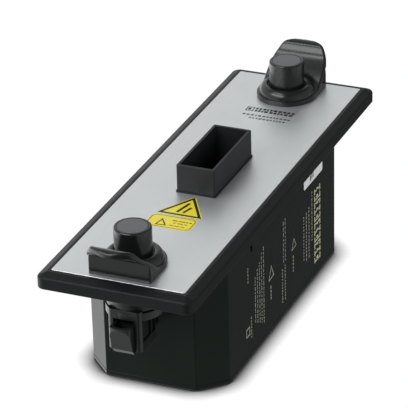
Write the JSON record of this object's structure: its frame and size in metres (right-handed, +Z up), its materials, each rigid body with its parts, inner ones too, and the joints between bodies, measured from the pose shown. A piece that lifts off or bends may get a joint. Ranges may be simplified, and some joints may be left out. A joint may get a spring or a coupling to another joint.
{
  "type": "plug-in test adapter module",
  "caption": "Flanged panel module with a plug socket collar, a tall casing and push-button latches with finger grips at both ends.",
  "frame": {"origin": "middle of the base's underside", "axes": "+Z up through the plug socket, +Y along the panel's long way towards the rear latch, +X across it"},
  "size_m": [0.082, 0.2664, 0.0959],
  "materials": {
    "panel_plastic": "satin moulded black",
    "brushed_plate": "fine brushed, clear anodised",
    "collar_plastic": "fine matt black",
    "casing_plastic": "satin black",
    "latch_plastic": "half-gloss black",
    "carrier_plastic": "satin black",
    "button_inlay": "matt mid grey",
    "hazard_foil": "yellow foil",
    "white_foil": "white foil",
    "insulator": "dark grey insulator",
    "contact_metal": "tinned copper alloy",
    "board_laminate": "green solder mask",
    "relay_plastic": "dark grey",
    "screw_steel": "zinc plated",
    "spring_steel": "spring steel"
  },
  "bodies": {
    "module": {"front_frame": "panel_plastic", "front_plate": "brushed_plate", "plug_collar": "collar_plastic", "casing": "casing_plastic", "base_cover": "casing_plastic", "front_latch_grip": "latch_plastic", "rear_latch_grip": "latch_plastic", "front_latch_carrier": "carrier_plastic", "rear_latch_carrier": "carrier_plastic", "hazard_triangle": "hazard_foil", "hazard_strip": "hazard_foil", "side_sticker": "white_foil", "contact_base": "insulator", "docking_connector": "insulator", "line_contact": "contact_metal", "earth_contact": "contact_metal", "docking_pins": "contact_metal", "circuit_board": "board_laminate", "test_relays": "relay_plastic", "coding_chip": "relay_plastic", "base_screws": "screw_steel", "casing_screws": "screw_steel", "contact_base_screws": "screw_steel", "board_screws": "screw_steel", "front_latch_screws": "screw_steel", "rear_latch_screws": "screw_steel", "front_button_spring": "spring_steel", "rear_button_spring": "spring_steel", "front_bolt_spring": "spring_steel", "rear_bolt_spring": "spring_steel"},
    "front_button": {"front_push_button": "latch_plastic", "front_button_cap": "button_inlay", "front_stem_clip": "spring_steel"},
    "front_bolt": {"front_latch_bolt": "carrier_plastic"},
    "rear_button": {"rear_push_button": "latch_plastic", "rear_button_cap": "button_inlay", "rear_stem_clip": "spring_steel"},
    "rear_bolt": {"rear_latch_bolt": "carrier_plastic"}
  },
  "joints": [
    {"name": "front_button_press", "type": "slide", "parent": "module", "child": "front_button", "axis": [0, 0, -1], "range_m": [0, 0.006], "stiffness_N_per_m": 660, "springref_m": -0.01, "deforming": ["front_button_spring"]},
    {"name": "front_bolt_slide", "type": "slide", "parent": "module", "child": "front_bolt", "axis": [0, 1, 0], "range_m": [0, 0.006], "stiffness_N_per_m": 610, "springref_m": -0.004, "deforming": ["front_bolt_spring"]},
    {"name": "rear_button_press", "type": "slide", "parent": "module", "child": "rear_button", "axis": [0, 0, -1], "range_m": [0, 0.006], "stiffness_N_per_m": 660, "springref_m": -0.01, "deforming": ["rear_button_spring"]},
    {"name": "rear_bolt_slide", "type": "slide", "parent": "module", "child": "rear_bolt", "axis": [0, -1, 0], "range_m": [0, 0.006], "stiffness_N_per_m": 610, "springref_m": -0.004, "deforming": ["rear_bolt_spring"]}
  ],
  "couplings": [
    {"joint": "front_bolt_slide", "follows": "front_button_press", "ratio": 1},
    {"joint": "rear_bolt_slide", "follows": "rear_button_press", "ratio": 1}
  ]
}
